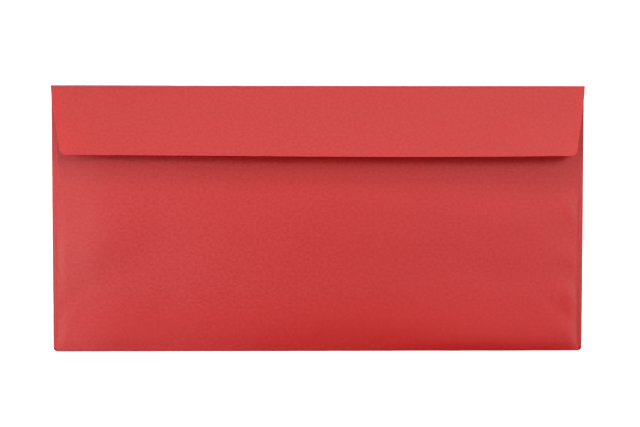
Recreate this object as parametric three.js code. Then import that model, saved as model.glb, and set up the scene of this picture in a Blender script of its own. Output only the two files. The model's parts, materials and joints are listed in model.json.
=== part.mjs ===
// A wallet envelope for a sheet folded in three, lying on its front with the flap folded over.
// Millimetres. +X runs along the top fold, +Y points at the top fold and +Z is up.
// The origin is the middle of the footprint, on the table.
import * as THREE from 'three';

// Thickness of each material
const paperThickness = 0.15;
const glueThickness = 0.05;
const adhesiveThickness = 0.05;
const linerThickness = 0.06;

// Outline of the closed envelope
const envelopeLength = 220;
const envelopeHeight = 110;
const rootFlare = 0.19;
const cornerRadius = 0.8;

// Folds
const sideFoldGap = 0.3;
const creaseGap = 0.5;
const sideFoldEnd = 1.2;

// Seam flaps, folded in under the back panel
const seamFlapWidth = 18;
const seamFlapTopTaper = 12;
const seamFlapBottomTaper = 9;
const seamFlapCornerRadius = 4;

// Back panel
const backEdgeInset = 2.2;
const backRootLength = 5;
const throatDepth = 15;
const throatCornerRadius = 5;
const crown = 1.0;
const throatRise = 0.35;

// Glue lines
const glueEdgeInset = 1;
const glueWidth = 7;
const glueEndInset = 2.5;
const crownMargin = 1.5;

// Closing flap
const flapDepth = 29.35;
const flapBow = 0.55;
const flapRootLength = 3.8;
const flapSideInset = 3.2;
const flapCornerRadius = 2.2;
const flapSpring = 2.6;
const cornerCurlWidth = 9;
const cornerDroop = 0.5;

// Adhesive strip and its liner, on the inside of the flap
const adhesiveWidth = 8;
const linerWidth = 13;
const linerEdgeInset = 2.5;
const linerSideInset = 14;
const linerGrip = 4;
const linerCornerRadius = 1;

// Small gaps that keep neighbours on the sloping flap apart
const beddingGap = 0.03;

// Facets
const foldSegments = 8;
const cornerSegments = 6;
const crownColumns = 28;
const crownRows = 20;
const flapMiddleColumns = 12;
const flapEndColumns = 12;
const flapRows = 8;

const colours = {
  paper: 0xcb4c49,
  insidePaper: 0xc24a47,
  glue: 0xd9cfb4,
  adhesive: 0xe6e2d2,
  liner: 0xf3f1ea,
};

// Heights of the stack at the side seams
const seamFlapBottom = paperThickness + sideFoldGap;
const glueBottom = seamFlapBottom + paperThickness;
const backBottom = glueBottom + glueThickness;
const backTop = backBottom + paperThickness;

// Radii and centres of the folds
const sideFoldRadius = (seamFlapBottom + paperThickness) / 2;
const bottomFoldRadius = backTop / 2;
const creaseInnerRadius = creaseGap / 2;
const creaseRadius = creaseInnerRadius + paperThickness;
const bodyHalf = envelopeLength / 2 - rootFlare;
const sideFoldX = bodyHalf - sideFoldRadius;
const bottomFoldY = -envelopeHeight / 2 + bottomFoldRadius;
const hingeY = envelopeHeight / 2 - creaseRadius;
const hingeZ = paperThickness + creaseInnerRadius;

// Back panel and its seams
const throatY = envelopeHeight / 2 - throatDepth;
const backHalf = bodyHalf - backEdgeInset;
const glueOuter = backHalf - glueEdgeInset;
const glueInner = glueOuter - glueWidth;
const crownHalf = glueInner - crownMargin;
const glueTopY = throatY - throatCornerRadius - glueEndInset;
const seamRootBottom = -envelopeHeight / 2 + sideFoldEnd;
const seamRootTop = envelopeHeight / 2 - sideFoldEnd;
const glueReach = sideFoldX - glueInner;
const glueBottomY = seamRootBottom + seamFlapBottomTaper * (glueReach / seamFlapWidth) + glueEndInset;

// The crease springs the flap's lower edge off the crown of the back panel
const flapReach = flapDepth - creaseRadius;
const crownTop = backTop + crown;
const flapClimb = crownTop + flapSpring - hingeZ - creaseInnerRadius;
const flapSlope = Math.asin(flapClimb / flapReach);
const flapEndHalf = bodyHalf - flapSideInset;
const linerHalf = flapEndHalf - linerSideInset;

const X = new THREE.Vector3(1, 0, 0);
const Y = new THREE.Vector3(0, 1, 0);
const Z = new THREE.Vector3(0, 0, 1);

/** Eases from 0 to 1 with no slope at either end. */
function ease(value) {
  const clamped = Math.min(1, Math.max(0, value));
  return Math.sin((clamped * Math.PI) / 2) ** 2;
}

/** Makes a named mesh of one piece. */
function piece(name, geometry, colour, roughness) {
  const material = new THREE.MeshStandardMaterial({ color: colour, roughness, metalness: 0 });
  const mesh = new THREE.Mesh(geometry, material);
  mesh.name = name;
  return mesh;
}

/** Cuts a flat sheet to an outline and lays it with its underside at the given height. */
function flatSheet(outline, bottom, thickness) {
  const settings = { depth: thickness, bevelEnabled: false, curveSegments: cornerSegments };
  return new THREE.ExtrudeGeometry(outline, settings).translate(0, 0, bottom);
}

/** Draws a straight-sided outline whose corners are rounded, each corner as [x, y, radius]. */
function roundedOutline(corners) {
  const shape = new THREE.Shape();
  corners.forEach(([x, y, radius], index) => {
    const corner = new THREE.Vector2(x, y);
    const before = new THREE.Vector2(...corners.at(index - 1));
    const after = new THREE.Vector2(...corners[(index + 1) % corners.length]);
    const towardBefore = before.sub(corner).normalize();
    const towardAfter = after.sub(corner).normalize();
    const setback = radius / Math.tan(Math.acos(towardBefore.dot(towardAfter)) / 2);
    const start = towardBefore.multiplyScalar(setback).add(corner);
    const end = towardAfter.multiplyScalar(setback).add(corner);
    if (index === 0) {
      shape.moveTo(start.x, start.y);
    } else {
      shape.lineTo(start.x, start.y);
    }
    if (radius > 0) {
      shape.quadraticCurveTo(x, y, end.x, end.y);
    }
  });
  shape.closePath();
  return shape;
}

/** Draws a rectangle between two corners, with its own corners rounded. */
function roundedRectangle(left, bottom, right, top, radius) {
  return roundedOutline([
    [left, bottom, radius],
    [right, bottom, radius],
    [right, top, radius],
    [left, top, radius],
  ]);
}

/** Bends a strip of paper round a fold: its section between two angles, drawn out along its length. */
function foldStrip(outerRadius, startAngle, endAngle, stripLength) {
  const section = new THREE.Shape();
  section.absarc(0, 0, outerRadius, startAngle, endAngle, false);
  section.absarc(0, 0, outerRadius - paperThickness, endAngle, startAngle, true);
  const settings = { depth: stripLength, bevelEnabled: false, curveSegments: foldSegments };
  return new THREE.ExtrudeGeometry(section, settings).translate(0, 0, -stripLength / 2);
}

/** Makes a thin sheet over rows of [x, y] points, its underside following a height function. */
function shapedSheet(rows, heightAt, thickness) {
  const columns = rows[0].length;
  const layer = rows.length * columns;
  const positions = [];
  for (const lift of [thickness, 0]) {
    for (const [x, y] of rows.flat()) {
      positions.push(x, y, heightAt(x, y) + lift);
    }
  }
  const indices = [];
  const addQuad = (a, b, c, d) => indices.push(a, b, c, a, c, d);
  for (let row = 0; row < rows.length - 1; row += 1) {
    for (let column = 0; column < columns - 1; column += 1) {
      const corner = row * columns + column;
      addQuad(corner, corner + 1, corner + columns + 1, corner + columns);
      addQuad(layer + corner, layer + corner + columns, layer + corner + columns + 1, layer + corner + 1);
    }
  }
  for (const [from, to] of rimEdges(rows.length, columns)) {
    addQuad(from, layer + from, layer + to, to);
  }
  const geometry = new THREE.BufferGeometry();
  geometry.setAttribute('position', new THREE.Float32BufferAttribute(positions, 3));
  geometry.setIndex(indices);
  return geometry;
}

/** Lists the edges round the rim of a grid, anticlockwise from above. */
function rimEdges(rowCount, columnCount) {
  const edges = [];
  const lastRow = (rowCount - 1) * columnCount;
  for (let column = 0; column < columnCount - 1; column += 1) {
    edges.push([column, column + 1]);
    edges.push([lastRow + column + 1, lastRow + column]);
  }
  for (let row = 0; row < rowCount - 1; row += 1) {
    const start = row * columnCount;
    edges.push([start + columnCount - 1, start + 2 * columnCount - 1]);
    edges.push([start + columnCount, start]);
  }
  return edges;
}

/** Gives evenly spaced values from one number to another, both included. */
function spread(from, to, steps) {
  return Array.from({ length: steps + 1 }, (_, index) => from + ((to - from) * index) / steps);
}

/** The front panel: the address side, flat on the table. */
function frontPanel() {
  const outline = roundedOutline([
    [-sideFoldX, bottomFoldY, cornerRadius],
    [sideFoldX, bottomFoldY, cornerRadius],
    [sideFoldX, hingeY, 0],
    [-sideFoldX, hingeY, 0],
  ]);
  return piece('front_panel', flatSheet(outline, 0, paperThickness), colours.insidePaper, 0.6);
}

/** The fold along the bottom, from the front panel up to the back panel. */
function bottomFold() {
  const strip = foldStrip(bottomFoldRadius, Math.PI / 2, (3 * Math.PI) / 2, 2 * (sideFoldX - cornerRadius));
  strip.applyMatrix4(new THREE.Matrix4().makeBasis(Y, Z, X));
  strip.translate(0, bottomFoldY, bottomFoldRadius);
  return piece('bottom_fold', strip, colours.paper, 0.5);
}

/** A side fold, from the front panel up to the seam flap. */
function sideFold(name, side) {
  const middle = side > 0 ? 0 : Math.PI;
  const strip = foldStrip(
    sideFoldRadius, middle - Math.PI / 2, middle + Math.PI / 2, seamRootTop - seamRootBottom,
  );
  strip.applyMatrix4(new THREE.Matrix4().makeBasis(X, Z, Y.clone().negate()));
  strip.translate(side * sideFoldX, (seamRootTop + seamRootBottom) / 2, sideFoldRadius);
  return piece(name, strip, colours.paper, 0.5);
}

/** A seam flap, with tapered ends, folded in over the front panel. */
function seamFlap(name, side) {
  const root = side * sideFoldX;
  const tip = side * (sideFoldX - seamFlapWidth);
  const corners = [
    [root, seamRootBottom, 0],
    [root, seamRootTop, 0],
    [tip, seamRootTop - seamFlapTopTaper, seamFlapCornerRadius],
    [tip, seamRootBottom + seamFlapBottomTaper, seamFlapCornerRadius],
  ];
  const sheet = flatSheet(roundedOutline(corners), seamFlapBottom, paperThickness);
  return piece(name, sheet, colours.insidePaper, 0.6);
}

/** The glue line between a seam flap and the back panel. */
function seamGlue(name, side) {
  const [left, right] = [side * glueInner, side * glueOuter].sort((a, b) => a - b);
  const outline = roundedRectangle(left, glueBottomY, right, glueTopY, glueWidth / 3);
  return piece(name, flatSheet(outline, glueBottom, glueThickness), colours.glue, 0.4);
}

/** The underside of the back panel: flat on its seams and fold, crowned between them. */
function backPanelHeight(x, y) {
  const across = 1 - ease(Math.abs(x) / crownHalf);
  const along = (y - bottomFoldY) / (throatY - bottomFoldY);
  const rise = along < 0.5 ? crown * ease(2 * along) : crown + (throatRise - crown) * ease(2 * along - 1);
  return backBottom + rise * across;
}

/** The back panel's half width at a height up the envelope. */
function backPanelHalf(y) {
  const aboveFold = (y - bottomFoldY) / backRootLength;
  const rootHalf = sideFoldX - cornerRadius;
  const side = rootHalf + (backHalf - rootHalf) * Math.min(1, aboveFold);
  const intoCorner = Math.max(0, y - (throatY - throatCornerRadius));
  return side - throatCornerRadius + Math.sqrt(throatCornerRadius ** 2 - intoCorner ** 2);
}

/** The back panel, from the bottom fold up to its free edge at the throat. */
function backPanel() {
  const straightTop = throatY - throatCornerRadius;
  const levels = [
    bottomFoldY,
    ...spread(bottomFoldY + backRootLength, straightTop, crownRows),
    ...spread(0, Math.PI / 2, cornerSegments).slice(1).map((turn) => straightTop + throatCornerRadius * Math.sin(turn)),
  ];
  const rows = levels.map((y) => {
    const half = backPanelHalf(y);
    const rim = Math.min(crownHalf, half - 1);
    return [-half, ...spread(-rim, rim, crownColumns), half].map((x) => [x, y]);
  });
  return piece('back_panel', shapedSheet(rows, backPanelHeight, paperThickness), colours.paper, 0.5);
}

/** The crease that the flap swings on, from the front panel round to the flap. */
function flapCrease() {
  const strip = foldStrip(creaseRadius, -Math.PI / 2, Math.PI / 2 - flapSlope, envelopeLength);
  strip.applyMatrix4(new THREE.Matrix4().makeBasis(Y, Z, X));
  strip.translate(0, hingeY, hingeZ);
  return piece('flap_crease', strip, colours.paper, 0.5);
}

/** The closing flap's half width at a distance from the hinge. */
function flapHalf(distance) {
  const rootHalf = envelopeLength / 2;
  const cornerStart = flapReach - flapCornerRadius;
  if (distance < flapRootLength) {
    return rootHalf + ((bodyHalf - rootHalf) * distance) / flapRootLength;
  }
  const taper = Math.min(1, (distance - flapRootLength) / (cornerStart - flapRootLength));
  const side = bodyHalf - flapSideInset * taper;
  const intoCorner = Math.max(0, distance - cornerStart);
  return side - flapCornerRadius + Math.sqrt(Math.max(0, flapCornerRadius ** 2 - intoCorner ** 2));
}

/** The inside of the closing flap: flat, but for the two corners, which curl towards the back panel. */
function flapInside(x, y) {
  const curl = ease((Math.abs(x) - linerHalf) / cornerCurlWidth);
  return creaseInnerRadius - cornerDroop * curl * (y / flapReach) ** 2;
}

/** The closing flap, in the frame of its own slope, reaching along -Y from the hinge. */
function closingFlap() {
  const cornerStart = flapReach - flapCornerRadius;
  const distances = [
    ...spread(Math.PI / 2, 0, cornerSegments).map((turn) => cornerStart + flapCornerRadius * Math.sin(turn)),
    ...spread(cornerStart, flapRootLength, flapRows).slice(1),
    beddingGap,
  ];
  const middle = linerHalf / bodyHalf;
  const shares = [
    ...spread(-1, -middle, flapEndColumns),
    ...spread(-middle, middle, flapMiddleColumns).slice(1, -1),
    ...spread(middle, 1, flapEndColumns),
  ];
  const rows = distances.map((distance) => {
    const half = flapHalf(distance);
    const shortening = (flapBow * distance) / flapReach;
    return shares.map((share) => [share * half, -distance + shortening * share ** 2]);
  });
  return piece('closing_flap', shapedSheet(rows, flapInside, paperThickness), colours.paper, 0.5);
}

/** A strip on the inside of the flap, centred in the liner's width. */
function flapStrip(name, width, half, top, thickness, colour, roughness) {
  const middle = -(flapReach - linerEdgeInset - linerWidth / 2);
  const outline = roundedRectangle(-half, middle - width / 2, half, middle + width / 2, linerCornerRadius);
  return piece(name, flatSheet(outline, top - thickness, thickness), colour, roughness);
}

/** The adhesive strip on the inside of the flap. */
function flapAdhesive() {
  const top = creaseInnerRadius - beddingGap;
  return flapStrip(
    'flap_adhesive', adhesiveWidth, linerHalf - linerGrip, top, adhesiveThickness, colours.adhesive, 0.25,
  );
}

/** The liner over the adhesive, longer and wider than it so that a finger can lift it. */
function releaseLiner() {
  const top = creaseInnerRadius - 2 * beddingGap - adhesiveThickness;
  return flapStrip('release_liner', linerWidth, linerHalf, top, linerThickness, colours.liner, 0.35);
}

const flapFrame = new THREE.Group();
flapFrame.position.set(0, hingeY, hingeZ);
flapFrame.rotation.x = -flapSlope;
flapFrame.add(closingFlap(), flapAdhesive(), releaseLiner());

const envelope = new THREE.Group();
envelope.add(
  frontPanel(),
  bottomFold(),
  backPanel(),
  flapCrease(),
  flapFrame,
);
for (const [name, side] of [['left', -1], ['right', 1]]) {
  envelope.add(
    sideFold(`${name}_side_fold`, side),
    seamFlap(`${name}_seam_flap`, side),
    seamGlue(`${name}_seam_glue`, side),
  );
}

export default envelope;
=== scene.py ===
"""A long wallet envelope of pearly red paper, lying on its front with its flap folded over.

Each piece is built in millimetres from the boxes of the CAD nodes that it stands for, becomes a
mesh in metres in the same frame, and, but for the flap's crease, rides on the same body.
"""

import json
import logging
import math
from collections.abc import Sequence
from dataclasses import dataclass, field
from enum import Enum

import bpy
import numpy as np
from mathutils import Euler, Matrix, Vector


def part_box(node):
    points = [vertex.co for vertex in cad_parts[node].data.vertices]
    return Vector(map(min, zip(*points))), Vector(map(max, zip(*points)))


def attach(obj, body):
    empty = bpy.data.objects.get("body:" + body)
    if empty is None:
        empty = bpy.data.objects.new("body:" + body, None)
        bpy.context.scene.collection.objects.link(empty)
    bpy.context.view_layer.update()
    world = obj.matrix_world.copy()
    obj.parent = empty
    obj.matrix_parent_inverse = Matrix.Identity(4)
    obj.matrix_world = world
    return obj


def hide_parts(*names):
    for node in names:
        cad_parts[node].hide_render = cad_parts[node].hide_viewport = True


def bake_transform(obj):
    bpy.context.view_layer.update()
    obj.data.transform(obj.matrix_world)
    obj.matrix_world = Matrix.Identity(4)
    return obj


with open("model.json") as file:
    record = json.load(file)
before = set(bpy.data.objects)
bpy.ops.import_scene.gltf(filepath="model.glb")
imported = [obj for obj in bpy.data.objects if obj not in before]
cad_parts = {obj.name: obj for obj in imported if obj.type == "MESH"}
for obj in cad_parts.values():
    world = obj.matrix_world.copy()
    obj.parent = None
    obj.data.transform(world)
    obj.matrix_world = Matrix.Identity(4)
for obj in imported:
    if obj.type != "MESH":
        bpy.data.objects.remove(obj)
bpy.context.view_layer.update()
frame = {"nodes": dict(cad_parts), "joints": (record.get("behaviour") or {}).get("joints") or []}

MM = 0.001
LOG = logging.getLogger("envelope")

Array = np.ndarray
Material = bpy.types.Material
Faces = tuple[Material, Material]
Point = tuple[float, float]
Triple = tuple[float, float, float]
Colour = Triple
Strip = tuple[Array, Array | float, Array]

WHITE = (1.0, 1.0, 1.0, 1.0)
SMOOTH = {"interpolation_type": "SMOOTHSTEP"}


# Shader expressions


class Value:
    """A shader socket that can stand in a Python expression."""

    def __init__(self, shader: "Shader", socket: bpy.types.NodeSocket) -> None:
        """Wraps a socket of a shader's own tree."""
        self.shader = shader
        self.socket = socket

    def _math(self, operation: str, *operands: "Operand") -> "Value":
        """Adds one Math node over the operands, in order."""
        settings = {"operation": operation}
        return self.shader.node("ShaderNodeMath", settings, dict(enumerate(operands)))

    def __add__(self, other: "Operand") -> "Value":
        """Adds."""
        return self._math("ADD", self, other)

    def __radd__(self, other: "Operand") -> "Value":
        """Adds, with the value on the right."""
        return self._math("ADD", other, self)

    def __sub__(self, other: "Operand") -> "Value":
        """Subtracts."""
        return self._math("SUBTRACT", self, other)

    def __rsub__(self, other: "Operand") -> "Value":
        """Subtracts, with the value on the right."""
        return self._math("SUBTRACT", other, self)

    def __mul__(self, other: "Operand") -> "Value":
        """Multiplies."""
        return self._math("MULTIPLY", self, other)

    def __rmul__(self, other: "Operand") -> "Value":
        """Multiplies, with the value on the right."""
        return self._math("MULTIPLY", other, self)

    def between(self, start: float, end: float) -> "Value":
        """Eases from 0 at the start to 1 at the end, which may lie below the start."""
        sockets = (self, start, end, 0.0, 1.0) if start < end else (self, end, start, 1.0, 0.0)
        return self.shader.node("ShaderNodeMapRange", SMOOTH, dict(enumerate(sockets)))


Operand = Value | float | Sequence[float]


class Shader:
    """One material's node tree, with a Principled shader at its end."""

    def __init__(self, name: str) -> None:
        """Starts an empty material.

        Args:
            name: the material's name.
        """
        self.material = bpy.data.materials.new(name)
        self.material.use_nodes = True
        self.tree = self.material.node_tree
        self.surface = self.tree.nodes["Principled BSDF"]

    def node(
        self,
        kind: str,
        settings: dict[str, object],
        sockets: dict[int | str, Operand],
        output: int | str = 0,
    ) -> Value:
        """Adds a node.

        Args:
            kind: the node's type.
            settings: its own settings, which are set first.
            sockets: the value or link of each socket that it uses.
            output: which of its results is wanted.

        Returns:
            The result, ready for an expression.
        """
        made = self.tree.nodes.new(kind)
        for setting, value in settings.items():
            setattr(made, setting, value)
        for socket, value in sockets.items():
            self.feed(made.inputs[socket], value)
        return Value(self, made.outputs[output])

    def feed(self, socket: bpy.types.NodeSocket, value: Operand) -> None:
        """Links a socket to a result, or sets it.

        Args:
            socket: the socket that is fed.
            value: a result or a plain value.
        """
        if isinstance(value, Value):
            self.tree.links.new(value.socket, socket)
        else:
            socket.default_value = value

    def set_surface(self, sockets: dict[str, Operand]) -> None:
        """Feeds the Principled shader's sockets by name."""
        for name, value in sockets.items():
            self.feed(self.surface.inputs[name], value)

    def let_through(self, share: float, colour: Colour) -> None:
        """Lets a share of the light pass through the surface.

        Args:
            share: the share that passes.
            colour: what colour it takes.
        """
        passing = self.node("ShaderNodeBsdfTranslucent", {}, {"Color": rgba(colour)})
        opaque = Value(self, self.surface.outputs["BSDF"])
        mixed = self.node("ShaderNodeMixShader", {}, {0: share, 1: opaque, 2: passing})
        self.feed(self.tree.nodes["Material Output"].inputs["Surface"], mixed)

    def attribute(self, name: str, output: str = "Fac") -> Value:
        """Reads one of the mesh's own attributes."""
        return self.node("ShaderNodeAttribute", {"attribute_name": name}, {}, output)

    def part(self, vector: Value, axis: str) -> Value:
        """Takes one of a vector's three parts."""
        return self.node("ShaderNodeSeparateXYZ", {}, {0: vector}, axis)

    def scaled(self, vector: Value, factors: Sequence[float]) -> Value:
        """Multiplies a vector's three parts by three factors."""
        settings = {"operation": "MULTIPLY"}
        return self.node("ShaderNodeVectorMath", settings, {0: vector, 1: factors})

    def noise(self, place: Value, size: float, detail: float = 2.0, rough: float = 0.5) -> Value:
        """Adds noise in blotches of a size, centred on 0 and reaching about 1 either way."""
        sockets = {"Vector": place, "Scale": 1.0 / size, "Detail": detail, "Roughness": rough}
        return (self.node("ShaderNodeTexNoise", {}, sockets) - 0.5) * 2.0

    def fibres(
        self, place: Value, degrees: float, stretch: Triple, size: float, detail: float = 1.0
    ) -> Value:
        """Draws noise out into fibres.

        Args:
            place: the place on the sheet, in millimetres.
            degrees: which way they lie.
            stretch: how the place is scaled along them, across them and through the sheet.
            size: the size of one blotch before it is drawn out.
            detail: how many finer layers it has.

        Returns:
            The noise.
        """
        sockets = {"Vector": place, "Angle": math.radians(degrees)}
        turned = self.node("ShaderNodeVectorRotate", {"rotation_type": "Z_AXIS"}, sockets)
        return self.noise(self.scaled(turned, stretch), size, detail)

    def specks(self, place: Value, spacing: float, size: float) -> Value:
        """Scatters round specks, some millimetres apart, whose radius is a share of that."""
        sockets = {"Vector": place, "Scale": 1.0 / spacing}
        return self.node("ShaderNodeTexVoronoi", {}, sockets, "Distance").between(size, 0.0)

    def blend(self, share: Operand, low: Operand, high: Operand) -> Value:
        """Mixes two colours. The share is how much there is of the second."""
        sockets = {0: share, 6: rgba(low), 7: rgba(high)}
        return self.node("ShaderNodeMix", {"data_type": "RGBA"}, sockets, 2)

    def toned(self, colour: Colour, tone: Value) -> Value:
        """Multiplies a colour by a number."""
        settings = {"operation": "SCALE"}
        return self.node("ShaderNodeVectorMath", settings, {0: colour, "Scale": tone})

    def bump(self, height: Value, distance: float) -> Value:
        """Bends the normal by a height, which is a share of the distance, in metres."""
        sockets = {"Height": height, "Distance": distance, "Strength": 1.0}
        return self.node("ShaderNodeBump", {}, sockets)


def rgba(colour: Operand) -> Operand:
    """Adds the fourth number to a plain colour, and leaves a link alone."""
    return colour if isinstance(colour, Value) else (*colour, 1.0)


# Finishes

# Where the painted sheen over the seam flaps and the painted shade beside the bottom fold set in,
# in millimetres on the pocket's sheet, from none to the full one
LEFT_SEAM_SHEEN = (-84.0, -100.0)
RIGHT_SEAM_SHEEN = (90.0, 104.0)
BOTTOM_SHADE_BACK = (-84.0, -64.0)
BOTTOM_SHADE_FRONT = (-26.0, -46.0)

# How near to a fold the painted shade along it reaches, and how near to a cut its raw edge shows
FOLD_SHADE = (0.8, 0.1)
RAW = (0.02, -0.04)


@dataclass(frozen=True)
class PaperFinish:
    """Paper dyed through, with fibres, a cloudy formation and fine mica flecks in its size.

    Attributes:
        colour: its mean colour, linear.
        pearl: how pale and how glossy the mica flecks are.
        tooth: the height of its grain, in metres.
        clouding: how much its clouds change its tone. The mottle, grain and fibres do so too.
        paleness: the mean paleness of its pearl coat.
        side_sheen: how much painted sheen, paler and lighter, it takes where a seam flap lies
            behind it, of which left_side_sheen and right_side_sheen say how much each side
            shows. Only such paper takes the painted shade beside the bottom fold.
        bottom_shade: how much pale sheen painted shade takes away beside the bottom fold.
        fold_shade: how much darker it is painted along a fold, as painted shade.
        passing: the share of the light that passes through it.
    """

    name: str
    colour: Colour
    roughness: float
    pearl: float
    tooth: float
    clouding: float = 0.015
    mottling: float = 0.022
    graining: float = 0.082
    fibring: float = 0.015
    paleness: float = 0.0328
    pale_mottle: float = 0.01
    pale_grain: float = 0.078
    side_sheen: float = 0.0
    left_side_sheen: float = 0.7
    right_side_sheen: float = 0.1
    side_sheen_tone: float = 0.6
    bottom_shade: float = 0.036
    fold_shade: float = 0.26
    passing: float = 0.0
    pearl_colour: Colour = (0.86, 0.36, 0.33)
    raw_colour: Colour = (0.76, 0.16, 0.14)
    passing_colour: Colour = (0.97, 0.10, 0.09)

    def side_sheen_mask(self, across: Value) -> Value:
        """Marks where painted sheen lies over the seam flaps, weighted for each side."""
        left, right = (across.between(*seam) for seam in (LEFT_SEAM_SHEEN, RIGHT_SEAM_SHEEN))
        return left * self.left_side_sheen + right * self.right_side_sheen

    def bottom_shaded(self, down: Value) -> Value:
        """Marks where painted shade takes sheen away, on both panels beside the bottom fold."""
        return down.between(*BOTTOM_SHADE_BACK) * down.between(*BOTTOM_SHADE_FRONT)

    def build(self) -> Material:
        """Builds the material.

        Returns:
            The material.
        """
        shader = Shader(self.name)
        place = shader.attribute("sheet", "Vector")
        raw = shader.attribute("edge").between(*RAW)
        fold_shaded = shader.attribute("fold").between(*FOLD_SHADE)

        clouds = shader.noise(place, size=11.0, detail=3.0, rough=0.55)
        mottle = shader.noise(place, size=2.6)
        grain = shader.noise(shader.scaled(place, (0.9, 1.1, 1.0)), size=1.1)
        along = shader.fibres(place, 8.0, (0.22, 2.6, 1.0), size=0.4)
        across = shader.fibres(place, 67.0, (0.28, 2.4, 1.0), size=0.4)
        fibres = along.between(0.25, 0.75) + across.between(0.3, 0.8)
        flecks = shader.specks(place, spacing=0.45, size=0.28)

        tone = 1.0 + clouds * self.clouding + mottle * self.mottling
        tone = tone + grain * self.graining + fibres * self.fibring
        # Painted shade along the folds
        tone = tone - fold_shaded * self.fold_shade
        pale = flecks * self.pearl + self.paleness + mottle * self.pale_mottle
        pale = pale + (grain.between(-0.6, 0.6) - 0.5) * self.pale_grain
        # Painted sheen where the seam flaps lie, strongest on the left, and painted shade beside
        # the bottom fold
        if self.side_sheen > 0:
            side_sheen_mask = self.side_sheen_mask(shader.part(place, "X"))
            bottom_shaded = self.bottom_shaded(shader.part(place, "Y"))
            tone = tone + side_sheen_mask * (self.side_sheen * self.side_sheen_tone)
            # Painted shade: less pale sheen beside the bottom fold
            pale = pale + side_sheen_mask * self.side_sheen - bottom_shaded * self.bottom_shade
        pearly = shader.blend(pale, shader.toned(self.colour, tone), self.pearl_colour)

        rough = self.roughness + grain * 0.05 - flecks * (0.12 * self.pearl) + fold_shaded * 0.06
        height = grain * 0.5 + fibres * 0.35 + mottle * 0.6 + clouds * 1.2
        shader.set_surface({
            "Base Color": shader.blend(raw * 0.7, pearly, self.raw_colour),
            "Roughness": rough + raw * 0.2,
            "Normal": shader.bump(height, self.tooth),
            "IOR": 1.75,
            "Specular IOR Level": 1.0,
        })
        if self.passing > 0:
            shader.let_through(self.passing, self.passing_colour)
        return shader.material


@dataclass(frozen=True)
class GlueFinish:
    """Dried dextrin glue, thin and clear enough for the red paper to show through."""

    name: str = "dried_glue"
    thin: Colour = (0.58, 0.16, 0.11)
    thick: Colour = (0.69, 0.46, 0.30)
    bubble: Colour = (0.78, 0.70, 0.58)
    relief: float = 4e-6

    def build(self) -> Material:
        """Builds the material.

        Returns:
            The material.
        """
        shader = Shader(self.name)
        place = shader.attribute("sheet", "Vector")
        runs = shader.noise(shader.scaled(place, (1.6, 0.25, 1.0)), size=2.2, detail=3.0)
        bubbles = shader.specks(place, spacing=1.1, size=0.2)
        colour = shader.blend(runs.between(-0.5, 0.6), self.thin, self.thick)
        shader.set_surface({
            "Base Color": shader.blend(bubbles * 0.5, colour, self.bubble),
            "Roughness": 0.30 + bubbles * 0.2 + runs * 0.06,
            "Normal": shader.bump(runs * 0.6 - bubbles, self.relief),
            "IOR": 1.47,
            "Coat Weight": 0.3,
            "Coat Roughness": 0.2,
        })
        return shader.material


@dataclass(frozen=True)
class AdhesiveFinish:
    """Soft transfer adhesive: milky, tacky and finely ribbed by the roller that laid it."""

    name: str = "transfer_adhesive"
    milk: Colour = (0.80, 0.72, 0.60)
    haze: Colour = (0.66, 0.42, 0.33)
    bubble: Colour = (0.90, 0.87, 0.80)
    relief: float = 5e-6

    def build(self) -> Material:
        """Builds the material.

        Returns:
            The material.
        """
        shader = Shader(self.name)
        place = shader.attribute("sheet", "Vector")
        ribs = shader.noise(shader.scaled(place, (4.0, 0.12, 1.0)), size=1.6, detail=1.0)
        bubbles = shader.specks(place, spacing=0.9, size=0.24)
        haze = shader.noise(place, size=5.0, detail=3.0).between(-0.3, 0.7)
        colour = shader.blend(haze * 0.35, self.milk, self.haze)
        shader.set_surface({
            "Base Color": shader.blend(bubbles * 0.4, colour, self.bubble),
            "Roughness": 0.24 + ribs * 0.06 + bubbles * 0.15,
            "Normal": shader.bump(ribs * 0.5 + bubbles * 0.5, self.relief),
            "IOR": 1.47,
            "Coat Weight": 0.5,
            "Coat Roughness": 0.12,
        })
        return shader.material


@dataclass(frozen=True)
class LinerFinish:
    """Siliconised release paper: smooth, faintly translucent and cream white."""

    name: str = "release_paper"
    colour: Colour = (0.87, 0.85, 0.79)
    edge_colour: Colour = (0.78, 0.74, 0.66)
    relief: float = 5e-6

    def build(self) -> Material:
        """Builds the material.

        Returns:
            The material.
        """
        shader = Shader(self.name)
        place = shader.attribute("sheet", "Vector")
        near_edge = shader.attribute("edge").between(0.5, 0.0)
        clouds = shader.noise(place, size=3.5, detail=3.0, rough=0.6)
        fibres = shader.fibres(place, 5.0, (0.3, 2.2, 1.0), size=0.5, detail=2.0)
        paper = shader.toned(self.colour, 1.0 + clouds * 0.035 + fibres * 0.025)
        shader.set_surface({
            "Base Color": shader.blend(near_edge * 0.25, paper, self.edge_colour),
            "Roughness": 0.36 + clouds * 0.07,
            "Normal": shader.bump(clouds * 0.6 + fibres * 0.3, self.relief),
            "IOR": 1.45,
            "Coat Weight": 0.35,
            "Coat Roughness": 0.25,
            "Subsurface Weight": 0.05,
            "Subsurface Scale": 0.0005,
        })
        return shader.material


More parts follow.
